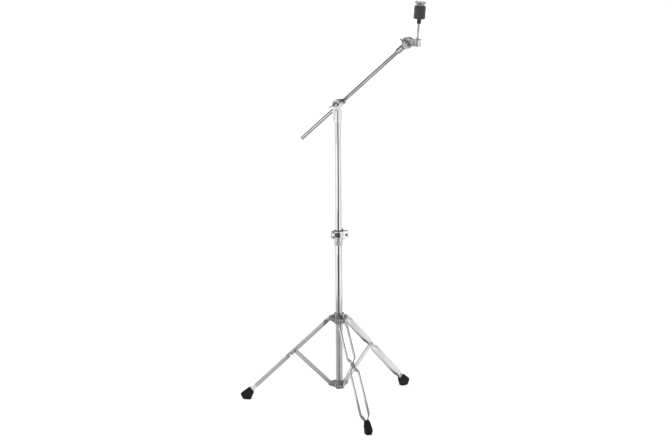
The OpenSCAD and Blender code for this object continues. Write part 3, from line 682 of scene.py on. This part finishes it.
inlay = copied("clamp_inlay", "clamp_inlay_moulded")
apply_modifier(inlay, "BEVEL", width=inlay_edge, segments=2, limit_method="ANGLE",
               angle_limit=math.radians(50))
smooth(inlay, 40)
hand_in(inlay, "clamp_inlay", inlay_black)

pin_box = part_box("clamp_hinge_pin")
pin_start = (pin_box[0] + pin_box[1]) / 2
low, high = span("clamp_hinge_pin", pin_start, up)
pin_r = girth("clamp_hinge_pin", pin_start, up)
pin = shaft("clamp_hinge_pin_turned", rounded([(0, low), (pin_r, low), (pin_r, high), (0, high)], pin_round),
            pin_start, up, steps=32)
hand_in(pin, "clamp_hinge_pin", bolt_steel)

turn = joints["clamp_nut_turn"]
start = Vector(turn["pos_m"])
back = Vector(turn["axis"]).normalized()
low, high = span("clamp_bolt", start, back)
nut_low, nut_high = span("clamp_wing_nut", start, back)
if abs(high - nut_high) > abs(low - nut_high):
    back = -back
    low, high = span("clamp_bolt", start, back)
    nut_low, nut_high = span("clamp_wing_nut", start, back)
head_r = girth("clamp_bolt", start, back)
clamp_bolt = shaft("shank", list(reversed(dome(head_r, head_h, low + head_h, -1))) + [
    (shank_r, low + head_h), (shank_r, nut_low), (0, nut_low)], start, back)
thread = threaded("thread", shank_r, clamp_pitch, high - nut_low,
                  along(start + back * nut_low, start + back * high))
hand_in(joined("clamp_bolt_turned", [clamp_bolt, thread]), "clamp_bolt", bolt_steel)
clamp_washer = washer("clamp_washer_turned", "clamp_washer", start, back, shank_r + thread_gap)
hand_in(clamp_washer, "clamp_washer", bolt_steel)
clamp_nut = wing_copy("clamp_wing_nut", "clamp_wing_nut_cast", start, back)
hand_in(clamp_nut, "clamp_wing_nut", nut_chrome)


# ---------- Bushing, upper tube and yoke ----------
# The nylon bushing lines the clamp's ring. The chromed upper tube slides in it and ends
# in the die-cast yoke, which holds the fixed toothed disc of the boom's pivot.
lip_out = 0.00126
lip_h = 0.0015
bushing_round = 0.0004
slide_gap = 0.00006
low, high = span("tube_bushing", centre, up)
lip_r = girth("tube_bushing", centre, up)
body_r = lip_r - lip_out
bore_r = girth("upper_tube", centre, up) + slide_gap
bushing = turned("tube_bushing_moulded", rounded([
    (bore_r, low), (body_r, low), (body_r, high - lip_h), (lip_r, high - lip_h), (lip_r, high),
    (bore_r, high)], bushing_round))
smooth(bushing)
hand_in(bushing, "tube_bushing", black_nylon)

low, high = span("upper_tube", centre, up)
radius = girth("upper_tube", centre, up)
upper_tube = turned("upper_tube_chromed", rounded([
    (radius, low), (radius, high), (radius - tube_wall, high), (radius - tube_wall, low)], edge_break))
smooth(upper_tube)
hand_in(upper_tube, "upper_tube", tube_chrome)

yoke = cast_copy("boom_yoke", "boom_yoke_cast", cast_voxel)
hand_in(yoke, "boom_yoke", pale_chrome)


# ---------- Boom holder, its bolt and wing nut ----------
# The die-cast holder carries the turning toothed disc and the sleeve for the boom, lined
# with nylon. Its bolt runs through both discs to a wing nut on the other side.
liner_round = 0.0003
shank_round = 0.0003
hex_head_h = 0.004
hex_edge = 0.0004
pitch_share = 0.31
holder = cast_copy("boom_holder", "boom_holder_cast", cast_voxel)
hand_in(holder, "boom_holder", cast_chrome)

roll = joints["boom_roll"]
boom_start = Vector(roll["pos_m"])
boom_axis = Vector(roll["axis"]).normalized()
boom_r = girth("boom_tube", boom_start, boom_axis)
low, high = span("holder_liner", boom_start, boom_axis)
liner_r = girth("holder_liner", boom_start, boom_axis)
liner = turned("holder_liner_moulded", rounded([
    (boom_r + slide_gap, low), (liner_r, low), (liner_r, high), (boom_r + slide_gap, high)], liner_round),
    along(boom_start, boom_start + boom_axis))
smooth(liner)
hand_in(liner, "holder_liner", black_nylon)


def wing_nut_set(stem, turn_joint, bolt_node, washer_node, nut_node, shank_r, head_sides=0):
    """A bolt with its threaded end, a washer and a cast wing nut on one line."""
    turn = joints[turn_joint]
    start = Vector(turn["pos_m"])
    axis = Vector(turn["axis"]).normalized()
    nut_low, nut_high = span(nut_node, start, axis)
    low, high = span(bolt_node, start, axis)
    if abs(high - nut_high) > abs(low - nut_low):
        axis = -axis
        nut_low, nut_high = span(nut_node, start, axis)
        low, high = span(bolt_node, start, axis)
    body = [(0, low), (shank_r, low), (shank_r, nut_low), (0, nut_low)]
    parts = [shaft("shank", rounded(body, shank_round), start, axis)]
    parts.append(threaded("thread", shank_r, shank_r * pitch_share, high - nut_low,
                          along(start + axis * nut_low, start + axis * high)))
    if head_sides:
        head_r = girth(bolt_node, start, axis)
        bpy.ops.object.select_all(action="DESELECT")
        bpy.ops.mesh.primitive_cylinder_add(vertices=head_sides, radius=head_r, depth=hex_head_h,
                                            location=(0, 0, low + hex_head_h / 2))
        head = bpy.context.object
        settle(head)
        apply_modifier(head, "BEVEL", width=hex_edge, segments=3, limit_method="ANGLE")
        settle(head, along(start, start + axis))
        smooth(head)
        parts.append(head)
    bolt = joined(stem + "_bolt_turned", parts)
    hand_in(bolt, bolt_node, bolt_steel)
    ring = washer(stem + "_washer_turned", washer_node, start, axis, shank_r + thread_gap)
    hand_in(ring, washer_node, bolt_steel)
    nut = wing_copy(nut_node, stem + "_wing_nut_cast", start, axis)
    hand_in(nut, nut_node, nut_chrome)


boom_shank_r = 0.004
wing_nut_set("boom", "boom_nut_turn", "boom_bolt", "boom_washer", "boom_wing_nut", boom_shank_r)


# ---------- Boom tube and its tail cap ----------
# A thinner chromed tube that slides and turns in the holder, with a nylon cap in its tail.
# Its plating is the tubes' bright chrome, a little darker.
tail_round = 0.0006
boom_chrome = plated("bright chrome plate on the boom tube", "#bcbdbf", "#b2b3b6", (0.04, 0.09), (1, 1, 1),
                     blotch=0.05, peel=0.0009, depth=0.000001)
low, high = span("boom_tube", boom_start, boom_axis)
boom_line = along(boom_start, boom_start + boom_axis)
boom_tube = turned("boom_tube_chromed", rounded([
    (boom_r, low), (boom_r, high), (boom_r - tube_wall, high), (boom_r - tube_wall, low)], edge_break),
    boom_line)
smooth(boom_tube)
hand_in(boom_tube, "boom_tube", boom_chrome)

plug_low, plug_high = span("boom_tail_plug", boom_start, boom_axis)
stem_radius = boom_r - tube_wall - press_gap
tail_cap = turned("boom_tail_cap", rounded([
    (0, plug_low), (boom_r, plug_low), (boom_r, low), (stem_radius, low),
    (stem_radius, plug_high), (0, plug_high)], tail_round), boom_line, closed=False)
smooth(tail_cap)
hand_in(tail_cap, "boom_tail_plug", black_nylon)


# ---------- Tilter ----------
# A die-cast socket pinned on the boom's end and the tilter head, toothed face to face.
# A hexagon bolt and a wing nut lock them, and small black grub screws hold boom and rod.
tilter_shank_r = 0.003
grub_round = 0.0004
rear_limit = 0.012
black_oxide = plated("black oxide steel", "#3c3c3e", "#2a2a2c", (0.3, 0.45), (1, 1, 1),
                     blotch=0.003, peel=0.0005, depth=0.00001)
socket = cast_copy("tilter_socket", "tilter_socket_cast", cast_voxel)
hand_in(socket, "tilter_socket", cast_chrome)
head = cast_copy("tilter_head", "tilter_head_cast", cast_voxel)
hand_in(head, "tilter_head", cast_chrome)
wing_nut_set("tilter", "tilter_nut_turn", "tilter_bolt", "tilter_washer", "tilter_wing_nut",
             tilter_shank_r, head_sides=6)


def grub_screw(node, name, axis):
    """A headless screw with a hexagon socket in the end that axis points to."""
    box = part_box(node)
    middle = (box[0] + box[1]) / 2
    low, high = span(node, middle, axis)
    radius = girth(node, middle, axis)
    hole = radius / 2
    screw = shaft(name, rounded([(0, low), (radius, low), (radius, high), (0, high)], grub_round),
                  centre, up, steps=40)
    bpy.ops.object.select_all(action="DESELECT")
    bpy.ops.mesh.primitive_cylinder_add(vertices=6, radius=hole, depth=hole * 2, location=(0, 0, high))
    cutter = settle(bpy.context.object)
    apply_modifier(screw, "BOOLEAN", operation="DIFFERENCE", object=cutter, solver="EXACT")
    bpy.data.objects.remove(cutter)
    smooth(settle(screw, along(middle, middle + axis)))
    hand_in(screw, node, black_oxide)


tilt_axis = Vector(joints["tilter_tilt"]["axis"]).normalized()
tilt_pivot = Vector(joints["tilter_tilt"]["pos_m"])
rear = tilt_axis if span("tilter_wing_nut", tilt_pivot, tilt_axis)[1] < rear_limit else -tilt_axis
grub_screw("socket_screw", "socket_grub_screw", rear)
grub_screw("rod_screw", "rod_grub_screw", rear)


# ---------- Cymbal rod and sleeve ----------
# A steel rod stands in the head's boss. A nylon sleeve with a shoulder covers it where the
# cymbal sits, and its top is threaded for the wing nut.
rod_pitch = 0.00125
rod_round = 0.0004
thread_hidden = 0.004
shoulder_h = 0.015
neck_r = 0.005
toe_in = 0.0008
toe_h = 0.002
sleeve_round = 0.0006
rod_turn = joints["cymbal_nut_turn"]
rod_start = Vector(rod_turn["pos_m"])
rod_axis = Vector(rod_turn["axis"]).normalized()
if rod_axis.z < 0:
    rod_axis = -rod_axis
rod_line = along(rod_start, rod_start + rod_axis)
rod_chrome = plated("chrome plated rod", "#c4c4c6", "#b0b0b2", (0.1, 0.2), (1, 1, 1),
                    blotch=0.02, peel=0.0008, depth=0.00001)
low, high = span("cymbal_rod", rod_start, rod_axis)
rod_r = girth("cymbal_rod", rod_start, rod_axis)
sleeve_low, sleeve_high = span("cymbal_sleeve", rod_start, rod_axis)
thread_low = sleeve_high - thread_hidden
plain = shaft("plain", rounded([(0, low), (rod_r, low), (rod_r, thread_low), (0, thread_low)], rod_round),
              rod_start, rod_axis)
top = threaded("thread", rod_r, rod_pitch, high - thread_low,
               along(rod_start + rod_axis * thread_low, rod_start + rod_axis * high))
hand_in(joined("cymbal_rod_turned", [plain, top]), "cymbal_rod", rod_chrome)

shoulder_r = girth("cymbal_sleeve", rod_start, rod_axis)
shoulder_top = sleeve_low + shoulder_h
sleeve_bore = rod_r + thread_gap
sleeve = turned("cymbal_sleeve_moulded", rounded([
    (sleeve_bore, sleeve_low), (shoulder_r - toe_in, sleeve_low), (shoulder_r, sleeve_low + toe_h),
    (shoulder_r, shoulder_top), (neck_r, shoulder_top), (neck_r, sleeve_high),
    (sleeve_bore, sleeve_high)], sleeve_round), rod_line)
smooth(sleeve)
hand_in(sleeve, "cymbal_sleeve", black_nylon)


# ---------- Felts and cymbal nut ----------
# Two thick washers of pressed grey wool felt, cut with soft edges and a fuzzy surface,
# and the flanged wing nut that holds the cymbal between them.
felt_bores = {"lower_felt": 0.00502, "upper_felt": 0.00535}
felt_in = 0.0004
felt_end = 0.0002
felt_round = 0.0024
felt_voxel = 0.00055
lump_size = 0.012
fuzz_size = 0.0022


def felt_material():
    """Pressed wool: mixed grey fibres, a soft sheen and a matted surface."""
    material, shader = new_material("pressed grey wool felt")
    place = add_node(material, "ShaderNodeTexCoord").outputs["Object"]
    fibres = add_node(material, "ShaderNodeTexNoise", {}, {"Scale": 1600, "Detail": 4, "Distortion": 1.6},
                      {"Vector": place})
    clumps = add_node(material, "ShaderNodeTexNoise", {}, {"Scale": 260, "Detail": 4}, {"Vector": place})
    colour = add_node(material, "ShaderNodeMix", {"data_type": "RGBA"},
                      {6: linear("#2c2c30"), 7: linear("#4e4e53")}, {0: fibres.outputs["Fac"]})
    mottled = add_node(material, "ShaderNodeMix", {"data_type": "RGBA", "blend_type": "MULTIPLY"}, {0: 0.5},
                       {6: colour.outputs[2], 7: clumps.outputs["Color"]})
    material.node_tree.links.new(mottled.outputs[2], shader.inputs["Base Color"])
    shader.inputs["Roughness"].default_value = 0.95
    shader.inputs["Specular IOR Level"].default_value = 0.1
    shader.inputs["Sheen Weight"].default_value = 0.35
    shader.inputs["Sheen Roughness"].default_value = 0.5
    relief = add_node(material, "ShaderNodeBump", {}, {"Strength": 0.8, "Distance": 0.0004},
                      {"Height": fibres.outputs["Fac"]})
    material.node_tree.links.new(relief.outputs["Normal"], shader.inputs["Normal"])
    return material


grey_felt = felt_material()
fuzz = bpy.data.textures.new("felt fuzz", "CLOUDS")
fuzz.noise_scale = fuzz_size
lumps = bpy.data.textures.new("felt lumps", "CLOUDS")
lumps.noise_scale = lump_size
for node, bore in felt_bores.items():
    low, high = span(node, rod_start, rod_axis)
    low, high = low + felt_end, high - felt_end
    radius = girth(node, rod_start, rod_axis) - felt_in
    outline = rounded([(bore, low), (radius, low), (radius, high), (bore, high)], felt_round, sides=6)
    felt = turned(node + "_pressed", outline, rod_line, steps=120)
    apply_modifier(felt, "REMESH", mode="VOXEL", voxel_size=felt_voxel)
    apply_modifier(felt, "DISPLACE", texture=lumps, strength=0.0005, mid_level=0.55, texture_coords="LOCAL")
    apply_modifier(felt, "DISPLACE", texture=fuzz, strength=0.0004, mid_level=0.55, texture_coords="LOCAL")
    select_only(felt)
    bpy.ops.object.shade_smooth()
    hand_in(felt, node, grey_felt)

cymbal_nut = cast_copy("cymbal_wing_nut", "cymbal_wing_nut_cast", wing_voxel)
hand_in(cymbal_nut, "cymbal_wing_nut", nut_chrome)
